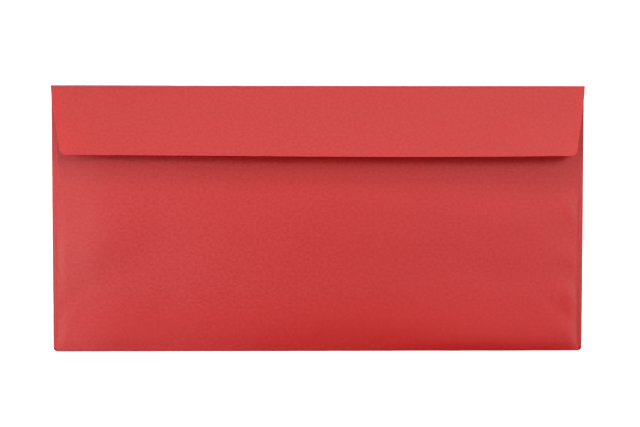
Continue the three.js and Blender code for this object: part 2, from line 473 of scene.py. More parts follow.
@dataclass(frozen=True)
class Finishes:
    """The materials of the envelope's pieces, each outside and inside.

    Only the flap's paper is thin enough alone for light to pass.
    """

    paper: Faces
    flap: Faces
    glue: Faces
    adhesive: Faces
    liner: Faces

    @classmethod
    def build(cls) -> "Finishes":
        """Builds every finish once.

        Returns:
            The materials.
        """
        pearly = {"pearl": 0.06, "tooth": 13e-6}
        dull = {"pearl": 0.02, "tooth": 12e-6}
        thin = {"passing": 0.35}
        papers = (
            # The pocket's outside paper takes painted sheen over the seam flaps
            PaperFinish("pearly_red_paper", (0.738, 0.001, 0.001), 0.50, side_sheen=0.045, **pearly),
            PaperFinish("inside_red_paper", (0.72, 0.008, 0.006), 0.70, **dull),
            # The flap's paper is the pocket's own stock: its brighter colours partly make up for
            # the share of light that passes through it and partly are painted light, set apart to
            # how brightly the tilted flap is lit
            PaperFinish(
                "pearly_red_flap_paper", (0.825, 0.0105, 0.0065), 0.64,
                pale_grain=0.13, **pearly, **thin,
            ),
            PaperFinish("inside_red_flap_paper", (0.82, 0.018, 0.014), 0.76, **dull, **thin),
        )
        outside, inside, flap_outside, flap_inside = (paper.build() for paper in papers)
        return cls(
            paper=(outside, inside),
            flap=(flap_outside, flap_inside),
            glue=(GlueFinish().build(),) * 2,
            adhesive=(AdhesiveFinish().build(),) * 2,
            liner=(LinerFinish().build(),) * 2,
        )


# Paper as a grid with two faces

# What the finishes read on a cut edge and where there is no such side, and a least length
PAST_CUT = -0.1
NO_SIDE = 1000.0
TINY = 1e-9


class Rim(Enum):
    """How a sheet ends along one side of its grid."""

    JOINED = 0.0
    CUT = 1.0


FOLD_RIMS = (Rim.JOINED, Rim.CUT, Rim.JOINED, Rim.CUT)
FLAP_RIMS = (Rim.JOINED, Rim.CUT, Rim.CUT, Rim.CUT)


def points(x: Array | float, y: Array | float, z: Array | float) -> Array:
    """Joins three coordinates into points, each spread over the whole grid."""
    return np.stack(np.broadcast_arrays(x, y, z), axis=-1)


@dataclass
class Sheet:
    """Paper laid over a grid of points, in millimetres.

    Attributes:
        outside: the outside face, as rows by columns by three, and so the inside.
        flat: where each point lies on the unfolded sheet.
        rims: how the first row, last column, last row and first column end.
        bulge: how far a cut edge is rounded outwards.
        edge_levels: where the loops of points that round it lie, from outside to inside.
    """

    outside: Array
    inside: Array
    flat: Array
    rims: tuple[Rim, ...] = (Rim.CUT,) * 4
    bulge: float = 0.03
    edge_levels: Point = (0.25, 0.75)

    def __post_init__(self) -> None:
        """Numbers the points and those round the outside, and notes the way that it faces."""
        rows, columns = self.outside.shape[:2]
        index = np.arange(rows * columns).reshape(rows, columns)
        self.index = index
        sides = (index[0, :-1], index[:-1, -1], index[-1, :0:-1], index[:0:-1, 0])
        self.ring = np.concatenate(sides)
        row, column = rows // 2, columns // 2
        middle = self.outside[row, column]
        along = middle - self.outside[row, column - 1]
        up = middle - self.outside[row - 1, column]
        self.turned_over = float(np.cross(along, up) @ (middle - self.inside[row, column])) < 0

    def rim_shares(self) -> Array:
        """Marks the cut sides.

        Returns:
            1 for each outer point on a cut side and 0 where the paper goes on.
        """
        shares = np.ones(self.index.shape)
        for rim, side in zip(self.rims, (np.s_[0, :], np.s_[:, -1], np.s_[-1, :], np.s_[:, 0])):
            shares[side] = np.minimum(shares[side], rim.value)
        return shares.ravel()[self.ring]

    def distance_to(self, wanted: Rim) -> Array:
        """Measures along the grid from each point to the nearest side of one kind.

        Args:
            wanted: the kind of side.

        Returns:
            The distances in millimetres, or a large number where there is no such side.
        """
        nearest = np.full(self.index.shape, NO_SIDE)
        for axis, (first, last) in enumerate((self.rims[::2], self.rims[:0:-2])):
            steps = np.linalg.norm(np.diff(self.outside, axis=axis), axis=2)
            distance = np.insert(np.cumsum(steps, axis=axis), 0, 0.0, axis=axis)
            if first is wanted:
                nearest = np.minimum(nearest, distance)
            if last is wanted:
                nearest = np.minimum(nearest, np.take(distance, [-1], axis=axis) - distance)
        return nearest.ravel()

    def edge_loops(self) -> list[Array]:
        """Rounds the cut edges.

        Returns:
            Loops of points between the two faces, bulging outwards.
        """
        outer = self.outside.reshape(-1, 3)[self.ring]
        inner = self.inside.reshape(-1, 3)[self.ring]
        tangent = np.roll(outer, -1, axis=0) - np.roll(outer, 1, axis=0)
        outward = np.cross(tangent, outer - inner) * (-1 if self.turned_over else 1)
        outward /= np.maximum(np.linalg.norm(outward, axis=1, keepdims=True), TINY)
        reach = (self.bulge * self.rim_shares())[:, None]
        return [outer + (inner - outer) * level + outward * reach for level in self.edge_levels]

    def faces(self) -> tuple[list[tuple[int, ...]], list[int]]:
        """Lists the faces: outside, then inside, then the rim.

        Returns:
            The faces' corners and their material slots.
        """
        index, size, count = self.index, self.index.size, len(self.ring)
        corners = (index[:-1, :-1], index[:-1, 1:], index[1:, 1:], index[1:, :-1])
        cells = np.stack(corners, axis=-1).reshape(-1, 4)
        rounds = 2 * size + np.arange(len(self.edge_levels) * count).reshape(-1, count)
        loops = [self.ring, *rounds, size + self.ring]
        quads = [cells, size + cells[:, ::-1]]
        for upper, lower in zip(loops, loops[1:]):
            quads.append(np.stack((upper, lower, np.roll(lower, -1), np.roll(upper, -1)), axis=-1))
        slots = [0] * len(cells) + [1] * len(cells) + [0] * (count * (len(loops) - 1))
        every = np.concatenate(quads)
        if self.turned_over:
            every = every[:, ::-1]
        return [tuple(quad) for quad in every.tolist()], slots

    def mesh(self, name: str) -> bpy.types.Mesh:
        """Builds the closed mesh, in metres, with the attributes that the finishes read.

        Args:
            name: the mesh's name.

        Returns:
            The mesh.
        """
        loops = self.edge_loops()
        flat = self.flat.reshape(-1, 3)
        edge, fold = self.distance_to(Rim.CUT), self.distance_to(Rim.JOINED)
        on_rim = np.where(self.rim_shares() > 0, PAST_CUT, edge[self.ring])
        places = np.concatenate([self.outside.reshape(-1, 3), self.inside.reshape(-1, 3), *loops])
        corners, slots = self.faces()

        mesh = bpy.data.meshes.new(name)
        mesh.from_pydata((places * MM).tolist(), [], corners)
        mesh.polygons.foreach_set("use_smooth", [True] * len(corners))
        mesh.polygons.foreach_set("material_index", slots)
        self._sharpen(mesh)
        for title, kind, key, face, rim in (
            ("sheet", "FLOAT_VECTOR", "vector", flat, flat[self.ring]),
            ("edge", "FLOAT", "value", edge, on_rim),
            ("fold", "FLOAT", "value", fold, fold[self.ring]),
        ):
            values = np.concatenate([face, face, *[rim] * len(loops)]).ravel()
            mesh.attributes.new(title, kind, "POINT").data.foreach_set(key, values)
        mesh.update()
        return mesh

    def _sharpen(self, mesh: bpy.types.Mesh) -> None:
        """Keeps the two faces' shading apart from the rim's, so that no seam is shaded round.

        Args:
            mesh: the sheet's mesh.
        """
        ring = self.ring.tolist()
        pairs = {frozenset(pair) for pair in zip(ring, ring[1:] + ring[:1])}
        pairs |= {frozenset(corner + self.index.size for corner in pair) for pair in pairs}
        for edge in mesh.edges:
            if frozenset(edge.vertices) in pairs:
                edge.use_edge_sharp = True


def add(name: str, data: bpy.types.ID) -> bpy.types.Object:
    """Adds an object of this name to the scene.

    Args:
        name: its name.
        data: its mesh, light or camera.

    Returns:
        The object.
    """
    made = bpy.data.objects.new(name, data)
    bpy.context.scene.collection.objects.link(made)
    return made


def lay(sheet: Sheet, node: str, finish: Faces, body: str | None) -> bpy.types.Object:
    """Makes the piece that stands for a CAD node.

    Args:
        sheet: its shape.
        node: the CAD node, whose name the piece takes with a word added.
        finish: the outside and the inside material.
        body: the body that it rides on, or None to leave it on none.

    Returns:
        The piece.
    """
    name = f"{node}_sheet"
    piece = add(name, sheet.mesh(name))
    for material in finish:
        piece.data.materials.append(material)
    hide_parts(node)
    if body is not None:
        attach(piece, body)
    size = piece.dimensions / MM
    faces = len(piece.data.polygons)
    LOG.info("%s: %.1f x %.1f x %.2f mm, %d faces", name, size.x, size.y, size.z, faces)
    return piece


# The CAD frame's own sizes


@dataclass(frozen=True)
class Box:
    """A box in millimetres, as its lowest and its highest corner."""

    low: Vector
    high: Vector


def box_of(node: str) -> Box:
    """Declares a field that holds a CAD node's box."""
    return field(default_factory=lambda: Box(*(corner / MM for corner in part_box(node))))


def joint(name: str) -> dict[str, Sequence[float]]:
    """Finds one of the frame's joints."""
    return next(joint for joint in frame["joints"] if joint["name"] == name)


@dataclass(frozen=True)
class EnvelopeSizes:
    """The sizes that every sub-assembly shares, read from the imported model, in millimetres."""

    front: Box = box_of("front_panel")
    side_fold: Box = box_of("right_side_fold")
    bottom_fold: Box = box_of("bottom_fold")
    seam_flap: Box = box_of("right_seam_flap")
    glue: Box = box_of("right_seam_glue")
    back: Box = box_of("back_panel")
    crease: Box = box_of("flap_crease")

    @property
    def paper(self) -> float:
        """The paper's thickness."""
        return self.front.high.z - self.front.low.z

    @property
    def crease_radius(self) -> float:
        """The flap crease's outer radius."""
        return self.crease.high.y - self.hinge.y

    @property
    def hinge(self) -> Vector:
        """The middle of the flap's crease."""
        return Vector(joint("flap_fold")["pos_m"]) / MM

    @property
    def flap_slope(self) -> float:
        """How steeply the resting flap climbs from its crease, in radians."""
        axis = joint("liner_release")["axis"]
        return math.atan2(axis[2], -axis[1])

    def on_flap(self, node: str) -> Box:
        """Measures a CAD node in the flap's own frame, whose -Y runs down the flap.

        Args:
            node: a node of the flap or the liner.

        Returns:
            Its box in that frame.
        """
        corners = np.array([vertex.co for vertex in frame["nodes"][node].data.vertices]) / MM
        local = rotate_x(corners - np.array(self.hinge), self.flap_slope)
        return Box(Vector(local.min(axis=0)), Vector(local.max(axis=0)))

    def off_flap(self, places: Array) -> Array:
        """Brings points from the flap's own frame into the envelope's."""
        return rotate_x(places, -self.flap_slope) + np.array(self.hinge)


def rotate_x(places: Array, angle: float) -> Array:
    """Turns points about the X axis.

    Args:
        places: an array whose last axis is x, y, z.
        angle: the angle in radians.

    Returns:
        The turned points.
    """
    cosine, sine = math.cos(angle), math.sin(angle)
    x, y, z = np.moveaxis(places, -1, 0)
    return points(x, y * cosine - z * sine, y * sine + z * cosine)


# Curves, and the unevenness of the paper

LATTICE = 64
NEAR_END = 0.999


def ease(value: Array | float, start: float = 0.0, width: float = 1.0) -> Array | float:
    """Eases from 0 at the start to 1 a width further, with no slope at either end."""
    return np.sin(np.clip((value - start) / width, 0.0, 1.0) * math.pi / 2) ** 2


def shoulder(distance: Array, length: float) -> Array:
    """Rises from 0, steeply at first, and is level at 1 from the length on."""
    return 1 - np.clip(1 - distance / length, 0.0, 1.0) ** 2


def rounding(into: Array, radius: float) -> Array:
    """Gives how far a corner's round draws an edge in, at distances past the corner's start."""
    return radius - np.sqrt(np.maximum(0.0, radius**2 - np.maximum(0.0, into) ** 2))


def quarter(count: int) -> Array:
    """Gives evenly spaced angles over a quarter turn, in radians."""
    return np.linspace(0, math.pi / 2, count)


def spread(start: float, end: float, step: float) -> Array:
    """Gives values from the start to the end, both included, evenly and about a step apart."""
    return np.linspace(start, end, max(2, round(abs(end - start) / step) + 1))


def across_shares(step: float) -> Array:
    """Gives shares of the half width from -1 to 1, a step apart, with one beside each end."""
    return np.sort(np.concatenate([spread(-1, 1, step), (-NEAR_END, NEAR_END)]))


@dataclass(frozen=True)
class Cockle:
    """Smooth unevenness, such as handling and damp leave in paper.

    Attributes:
        cell: the size of one wave.
        seed: what makes this pattern its own.
    """

    cell: float
    height: float
    seed: int

    def lift(self, x: Array, y: Array) -> Array:
        """Gives the height over points.

        Args:
            x: the points' x.
            y: the points' y.

        Returns:
            Heights between minus and plus the greatest height.
        """
        lattice = np.random.default_rng(self.seed).uniform(-1.0, 1.0, (LATTICE, LATTICE))
        column, row = np.floor(x / self.cell), np.floor(y / self.cell)
        right, up = x / self.cell - column, y / self.cell - row
        right, up = (share**3 * (share * (share * 6 - 15) + 10) for share in (right, up))
        column, row = column.astype(int), row.astype(int)
        lower, upper = (
            lattice[line % LATTICE, column % LATTICE] * (1 - right)
            + lattice[line % LATTICE, (column + 1) % LATTICE] * right
            for line in (row, row + 1)
        )
        return self.height * (lower * (1 - up) + upper * up)


@dataclass(frozen=True)
class Dent:
    """A soft ridge in the paper along a line, or a hollow where its height is negative.

    Attributes:
        left: how wide it is on the left of the line, seen from its start.
        right: how wide it is on the right.
    """

    start: Point
    end: Point
    height: float
    left: float
    right: float

    def lift(self, x: Array, y: Array) -> Array:
        """Gives the height over points.

        Args:
            x: the points' x.
            y: the points' y.

        Returns:
            The ridge's height over each point.
        """
        along = np.array(self.end) - np.array(self.start)
        length = float(np.hypot(*along))
        unit = along / length
        x, y = x - self.start[0], y - self.start[1]
        from_start = x * unit[0] + y * unit[1]
        beside = y * unit[0] - x * unit[1]
        beyond = np.maximum(0.0, np.maximum(-from_start, from_start - length))
        width = np.where(beside > 0, self.left, self.right)
        reach = (beside / width) ** 2 + (beyond / max(self.left, self.right)) ** 2
        return self.height * np.exp(-reach)


# Sub-assemblies


@dataclass
class FrontPanel:
    """The address side, flat on the table.

    Attributes:
        seam_ghost: how high it lies between the seam flaps, whose edges show faintly, each
            over ghost_width.
        ghost_margin: over what width that dies out towards the rim.
    """

    sizes: EnvelopeSizes
    corner_radius: float = 0.35
    corner_points: int = 5
    step: float = 2.0
    seam_ghost: float = 0.02
    ghost_width: float = 1.2
    ghost_margin: float = 6.0

    def sheet(self) -> Sheet:
        """Lays the panel.

        Returns:
            Its sheet.
        """
        front, radius = self.sizes.front, self.corner_radius
        rise = np.concatenate([
            radius * (1 - np.cos(quarter(self.corner_points)))[:-1],
            spread(radius, front.high.y - front.low.y, self.step),
        ])[:, None]
        share = np.linspace(-1, 1, 2 * round(front.high.x / self.step) + 1)
        x = share * (front.high.x - rounding(radius - rise, radius))
        margin = np.minimum(front.high.x - np.abs(x), np.minimum(rise, rise[::-1]))
        seam = self.sizes.seam_flap.low.x - self.ghost_width / 2
        ghost = 1 - ease(np.abs(x), seam, self.ghost_width)
        lift = self.seam_ghost * ghost * ease(margin, 0.0, self.ghost_margin)
        heights = (lift, lift + self.sizes.paper, 0.0)
        faces = (points(x, front.low.y + rise, height) for height in heights)
        return Sheet(*faces, (Rim.JOINED,) * 4)

    def build(self, finishes: Finishes) -> None:
        """Builds and dresses the panel."""
        lay(self.sheet(), "front_panel", finishes.paper, "pocket")


@dataclass
class Folds:
    """The folds round the pocket and the crease that the flap swings on.

    Attributes:
        pinch: half of how far a fold is pinched in at most, unevenly along its length.
        crease_bulge: how far the crease bulges, and again as far towards its left end.
        bulge_left: how far left of the middle that second bulge starts, and over what width.
    """

    sizes: EnvelopeSizes
    arc_steps: int = 18
    step: float = 1.5
    pinch: float = 0.035
    pinch_cell: float = 7.0
    crease_bulge: float = 0.17
    bulge_left: Point = (30.0, 80.0)

    def bent(
        self, middle: Point, radius: float, end_angle: float, length: Point, seed: int
    ) -> list[Strip]:
        """Bends a strip round a fold, from the front panel up.

        Args:
            middle: the fold's middle, across and up.
            radius: its outer radius.
            end_angle: where it ends, in radians, from level outwards.
            length: where the strip starts and ends along the fold.
            seed: what makes its unevenness its own.

        Returns:
            The outside points, the inside points and their places on the flat sheet, each as
            across, up and along.
        """
        share = np.linspace(0, 1, self.arc_steps + 1)[:, None]
        angle = end_angle + math.pi / 2
        turn = share * angle - math.pi / 2
        along = spread(*length, self.step)[None, :]
        uneven = Cockle(self.pinch_cell, self.pinch, seed).lift(along, np.zeros_like(along))
        uneven = (uneven - self.pinch) * np.sin(share * math.pi) ** 2
        strips = [
            (middle[0] + (reach + uneven) * np.cos(turn), middle[1] + reach * np.sin(turn), along)
            for reach in (radius, radius - self.sizes.paper)
        ]
        arc = share * (radius - self.sizes.paper / 2) * angle
        return [*strips, (middle[0] + arc, 0.0, along)]

    def half_turn(self, box: Box, edge: float, length: Point, seed: int) -> list[Strip]:
        """Bends a strip round a whole fold, which is as high as its box, from a panel's edge."""
        radius = box.high.z / 2
        return self.bent((edge, radius), radius, math.pi / 2, length, seed)

    def crease(self, seed: int) -> Sheet:
        """Bends the crease, round to the flap.

        Args:
            seed: what makes its unevenness its own.

        Returns:
            Its sheet.
        """
        sizes, half = self.sizes, self.sizes.crease.high.x
        middle = (sizes.hinge.y, sizes.hinge.z)
        end_angle = math.pi / 2 - sizes.flap_slope
        strips = self.bent(middle, sizes.crease_radius, end_angle, (-half, half), seed)
        turn = np.linspace(0, math.pi, self.arc_steps + 1)[:, None]
        faces = []
        for (across, up, along), bulged in zip(strips, (1, 1, 0)):
            swell = self.crease_bulge * (1 + ease(-along, *self.bulge_left))
            faces.append(points(along, across + bulged * swell * np.sin(turn) ** 2, up))
        return Sheet(*faces, FOLD_RIMS)

    def build(self, finishes: Finishes) -> None:
        """Builds and dresses the folds. The crease rides on no body; its transform is baked in.

        Args:
            finishes: the envelope's materials.
        """
        front, fold, side_fold = self.sizes.front, self.sizes.bottom_fold, self.sizes.side_fold
        strips = self.half_turn(fold, -front.low.y, (-fold.high.x, fold.high.x), 31)
        sheet = Sheet(*(points(along, -across, up) for across, up, along in strips), FOLD_RIMS)
        lay(sheet, "bottom_fold", finishes.paper, "pocket")
        ends = (side_fold.low.y, side_fold.high.y)
        for name, side, seed in (("left_side_fold", -1, 12), ("right_side_fold", 1, 23)):
            strips = self.half_turn(side_fold, front.high.x, ends, seed)
            faces = (points(side * across, along, up) for across, up, along in strips)
            lay(Sheet(*faces, FOLD_RIMS), name, finishes.paper, "pocket")
        crease = lay(self.crease(47), "flap_crease", finishes.paper, None)
        hinge = self.sizes.hinge * MM
        reach = Vector((0, 0, (self.sizes.crease_radius - self.sizes.paper) * MM))
        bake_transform(crease)


@dataclass
class SeamFlaps:
    """The two flaps folded in under the back panel, and the glue that holds it to them.

    Attributes:
        top_taper: how much lower than its fold a flap's inner edge ends at the top, as
            bottom_taper says how much higher it starts.
        glue_wander: how unsteady a glue line's edges are, at most.
        blunt: the glue line's half width at its very ends.
        glue_layer: its place off the flat sheet, so that its pattern is its own.
    """

    sizes: EnvelopeSizes
    top_taper: float = 12.0
    bottom_taper: float = 9.0
    corner_radius: float = 4.0
    corner_points: int = 9
    step: float = 1.5
    glue_wander: float = 0.35
    wander_cell: float = 4.0
    glue_columns: int = 9
    blunt: float = 0.1
    glue_bulge: float = 0.02
    glue_layer: float = 5.0

    def flap(self, side: float) -> Sheet:
        """Lays a seam flap with tapered ends and rounded inner corners.

        Args:
            side: -1 for the left and 1 for the right.

        Returns:
            The sheet.
        """
        box, radius = self.sizes.seam_flap, self.corner_radius
        width = box.high.x - box.low.x
        inward = np.concatenate([
            spread(0, width - radius, self.step),
            width - radius * (1 - np.sin(quarter(self.corner_points)))[1:],
        ])[:, None]
        drawn_in = rounding(inward - width + radius, radius)
        low = box.low.y + self.bottom_taper * inward / width + drawn_in
        high = box.high.y - self.top_taper * inward / width - drawn_in
        share = np.linspace(0, 1, round((box.high.y - box.low.y) / self.step) + 1)
        y = low + (high - low) * share
        x = side * (box.high.x - inward)
        flat = points(side * (box.high.x + inward), y, 0.0)
        return Sheet(points(x, y, box.high.z), points(x, y, box.low.z), flat, FLAP_RIMS)

    def glue(self, side: float, seed: int) -> Sheet:
        """Lays a glue line whose edges wander as a glue wheel leaves them.

        Args:
            side: -1 for the left and 1 for the right.
            seed: what makes its edges its own.

        Returns:
            The film.
        """
        box = self.sizes.glue
        radius = (box.high.x - box.low.x) / 2
        middle = side * (box.high.x + box.low.x) / 2
        cap = quarter(self.corner_points)
        y = np.concatenate([
            box.low.y + radius * (1 - np.cos(cap))[:-1],
            spread(box.low.y + radius, box.high.y - radius, self.step),
            box.high.y - radius * (1 - np.sin(cap))[1:],
        ])[:, None]
        into_cap = np.maximum(0.0, np.maximum(box.low.y - y, y - box.high.y) + radius)
        half = np.sqrt(np.maximum(self.blunt**2, radius**2 - into_cap**2))
        wander = Cockle(self.wander_cell, self.glue_wander, seed).lift(y, np.zeros_like(y))
        share = np.linspace(-1, 1, self.glue_columns)
        x = middle + share * (half - np.abs(wander) * half / radius)
        faces = (points(x, y, z) for z in (box.high.z, box.low.z, self.glue_layer))
        return Sheet(*faces, bulge=self.glue_bulge)

    def build(self, finishes: Finishes) -> None:
        """Builds and dresses both flaps and both glue lines.

        Args:
            finishes: the envelope's materials.
        """
        for name, side, seed in (("left", -1.0, 5), ("right", 1.0, 6)):
            lay(self.flap(side), f"{name}_seam_flap", finishes.paper, "pocket")
            lay(self.glue(side, seed), f"{name}_seam_glue", finishes.glue, "pocket")


@dataclass
class BackPanel:
    """The back panel: pillowed by handling, tied down at its seams and rolled over at the fold.

    A pair of numbers says where something starts to change and over what width.

    Attributes:
        crown_half: the half width of its crown.
        throat_rise: how far its upper edge stands open.
        roll_height: how high it rolls up from the bottom fold, over roll_length.
        turn_height: how much higher it stands beside the fold, most so at the right. It comes
            up to that over turn_length and down again over turn_fade.
        seam_height: how high it rolls up beside the seams at the bottom.
        tied: over what width its unevenness grows from the edges, as bruise_tied for its dents.
        dents: the creases and bruises that its corners and its right seam have taken.
    """

    sizes: EnvelopeSizes
    root_length: float = 5.0
    edge_half: float = 107.61
    corner_radius: float = 5.0
    corner_points: int = 9
    crown_half: float = 98.11
    throat_rise: float = 0.35
    roll_height: float = 0.80
    roll_length: float = 14.0
    turn_height: float = 0.40
    turn_length: float = 5.0
    turn_fade: float = 30.0
    turn_right: Point = (5.0, 70.0)
    turn_left: Point = (50.0, 40.0)
    turn_left_share: float = 0.35
    turn_ends: Point = (104.5, 3.5)
    seam_height: float = 0.12
    seam_length: float = 8.0
    seam_fade: Point = (19.2, -12.0)
    seam_ends: Point = (97.0, 9.0)
    throat_margin: float = 4.0
    tied: float = 9.0
    bruise_tied: float = 2.5
    step: float = 1.15
    dents: tuple[Dent, ...] = (
        Dent((-94, -14), (-84, -7), 0.38, 13, 10),
        Dent((-82, -44), (-80, -33), 0.13, 9, 18),
        Dent((-108, -38), (-97, -29), -0.07, 2.6, 3.2),
        Dent((-107.3, -50.5), (-100, -38), 0.04, 3, 2.8),
        Dent((72, -2), (88, -4), 0.20, 13, 12),
        Dent((104.5, 2.5), (109, 1.5), 0.19, 5, 4),
        Dent((103.5, -16.5), (109, -17.5), 0.18, 4.6, 3.6),
        Dent((103, -31), (109, -32.5), 0.19, 4, 3.6),
        Dent((94.5, -32.5), (108.4, -45), -0.08, 2.2, 2.2),
        Dent((101, -47), (107, -49), 0.08, 3.5, 2.5),
    )
    cockles: tuple[Cockle, ...] = (
        Cockle(23.0, 0.06, 71),
        Cockle(9.0, 0.022, 72),
        Cockle(4.0, 0.007, 73),
    )

    def half_width(self, y: Array) -> Array:
        """Gives the panel's half width.

        Args:
            y: heights up the envelope, in millimetres.

        Returns:
            The half width at each.
        """
        back, radius = self.sizes.back, self.corner_radius
        share = np.clip((y - back.low.y) / self.root_length, 0, 1)
        side = back.high.x + (self.edge_half - back.high.x) * share
        return side - rounding(y - (back.high.y - radius), radius)

    def rise(self, x: Array, y: Array) -> Array:
        """Gives how far the panel stands above its flat rim.

        Args:
            x: the points' x.
            y: the points' y.

        Returns:
            The rise over each point.
        """
        back, out = self.sizes.back, np.abs(x)
        crown = back.high.z - back.low.z - self.sizes.paper
        up = y - back.low.y
        along = up / (back.high.y - back.low.y)
        lower = (crown - self.roll_height) * ease(2 * along)
        lower = lower + self.roll_height * shoulder(up, self.roll_length)
        upper = crown + (self.throat_rise - crown) * ease(2 * along - 1)
        across = 1 - ease(out, 0.0, self.crown_half)
        rise = np.where(along < 0.5, lower, upper) * across

        turned = shoulder(up, self.turn_length) * (1 - ease(up, self.turn_length, self.turn_fade))
        sides = ease(x, *self.turn_right) + self.turn_left_share * ease(-x, *self.turn_left)
        rise = rise + self.turn_height * turned * sides * (1 - ease(out, *self.turn_ends))

        seam = self.seam_height * ease(up, 0.0, self.seam_length) * ease(up, *self.seam_fade)
        rise = rise + seam * (1 - across) * (1 - ease(out, *self.seam_ends))

        over = back.high.y - y + self.throat_margin
        edge = np.minimum(self.half_width(y) - out, np.minimum(up, over))
        uneven = sum(cockle.lift(x, y) for cockle in self.cockles) * ease(edge, 0.0, self.tied)
        bruises = sum(dent.lift(x, y) for dent in self.dents)
        bruises = bruises * ease(np.minimum(edge, up / 2), 0.0, self.bruise_tied)
        return np.maximum(0.0, rise + uneven + bruises)

    def sheet(self) -> Sheet:
        """Lays the panel.

        Returns:
            Its sheet.
        """
        back, radius = self.sizes.back, self.corner_radius
        straight = back.high.y - radius
        y = np.concatenate([
            spread(back.low.y, straight, self.step),
            (straight + radius * np.sin(quarter(self.corner_points)))[1:],
        ])[:, None]
        x = across_shares(self.step / back.high.x) * self.half_width(y)
        under = back.low.z + self.rise(x, y)
        outside, inside = points(x, y, under + self.sizes.paper), points(x, y, under)
        return Sheet(outside, inside, points(x, 2 * back.low.y - y, 0.0), FLAP_RIMS)

    def build(self, finishes: Finishes) -> None:
        """Builds and dresses the panel."""
        lay(self.sheet(), "back_panel", finishes.paper, "pocket")


@dataclass(frozen=True)
class FlapSide:
    """One end of the closing flap.

    Attributes:
        root: the half width at the crease.
        shoulder: the half width where the taper starts.
        straight: how far down the taper starts.
        taper: how much the flap narrows with each millimetre.
        corner: the lower corner's radius.
        sink_start: how far from the middle the flap starts to sink, over sink_width.
        sink: how far its corner sinks.
    """

    root: float
    shoulder: float
    straight: float
    taper: float
    corner: float
    sink_start: float
    sink_width: float
    sink: float

    def half_width(self, distance: Array, reach: float) -> Array:
        """Gives the half width at distances down the flap.

        Args:
            distance: how far they are from the hinge.
            reach: how far the flap reaches.

        Returns:
            The half widths.
        """
        into_root = np.clip(distance / self.straight, 0.0, 1.0)
        side = self.root + (self.shoulder - self.root) * into_root
        side = side - self.taper * np.maximum(0.0, distance - self.straight)
        return side - rounding(distance - reach + self.corner, self.corner)

    def sunk(self, x: Array, share: Array) -> Array:
        """Gives how far it has sunk at each x, at shares of the way down the flap."""
        return self.sink * ease(np.abs(x), self.sink_start, self.sink_width) * share


@dataclass
class ClosingFlap:
    """The closing flap, sprung off the pocket, and less so towards its left end.

    Attributes:
        edge_line: the lower edge's curve, as what each power of the share across adds to it.
        sag: how deep it sags between its crease and its edge.
        cockles: its unevenness, with how soon each sets in below the crease.
        top_rows: where its first rows of points lie. The even ones start at the last.
    """

    sizes: EnvelopeSizes
    left: FlapSide = FlapSide(109.88, 109.62, 3.8, 0.152, 2.3, 20.0, 87.0, 0.9)
    right: FlapSide = FlapSide(110.0, 109.78, 3.8, 0.139, 2.1, 96.0, 11.0, 0.4)
    edge_line: tuple[float, ...] = (-0.02, -0.618, 0.587, 0.385)
    sag: float = 0.16
    cockles: tuple[tuple[Cockle, float], ...] = (
        (Cockle(16.0, 0.025, 91), 2.0),
        (Cockle(6.0, 0.008, 92), 3.0),
    )
    top_rows: tuple[float, ...] = (0.0, 0.35, 0.9)
    corner_points: int = 10
    crease_length: float = 1.0
    step: float = 1.15

    def __post_init__(self) -> None:
        """Measures the CAD flap in its own frame."""
        self.reach = -self.sizes.on_flap("closing_flap").low.y
        self.top = self.sizes.crease_radius - self.sizes.paper

    def inside_height(self, x: Array, distance: Array) -> Array:
        """Gives the height of the flap's inside in its own frame.

        Args:
            x: the points' x.
            distance: their distance from the hinge.

        Returns:
            The heights.
        """
        share = distance / self.reach
        sunk = np.where(x < 0, self.left.sunk(x, share), self.right.sunk(x, share))
        return self.top - sunk - self.sag * 4 * share * (1 - share)

    def sheet(self) -> Sheet:
        """Lays the flap.

        Returns:
            Its sheet.
        """
        straight = self.reach - self.left.corner
        distance = np.concatenate([
            self.top_rows[:-1],
            spread(self.top_rows[-1], straight, self.step),
            (straight + self.left.corner * np.sin(quarter(self.corner_points)))[1:],
        ])[::-1, None]
        share = across_shares(self.step / self.right.root)
        halves = (side.half_width(distance, self.reach) for side in (self.left, self.right))
        x = share * np.where(share < 0, *halves)
        down = distance / self.reach
        y = -distance + down * sum(part * share**power for power, part in enumerate(self.edge_line))
        z = self.inside_height(x, distance)
        for cockle, onset in self.cockles:
            z = z + cockle.lift(x, y) * ease(down * onset)
        outside = self.sizes.off_flap(points(x, y, z + self.sizes.paper))
        inside = self.sizes.off_flap(points(x, y, z))
        flat = points(x, self.sizes.hinge.y + self.crease_length + distance, 0.0)
        return Sheet(outside, inside, flat, (Rim.CUT, Rim.CUT, Rim.JOINED, Rim.CUT))

    def build(self, finishes: Finishes) -> None:
        """Builds and dresses the flap."""
        lay(self.sheet(), "closing_flap", finishes.flap, "flap")


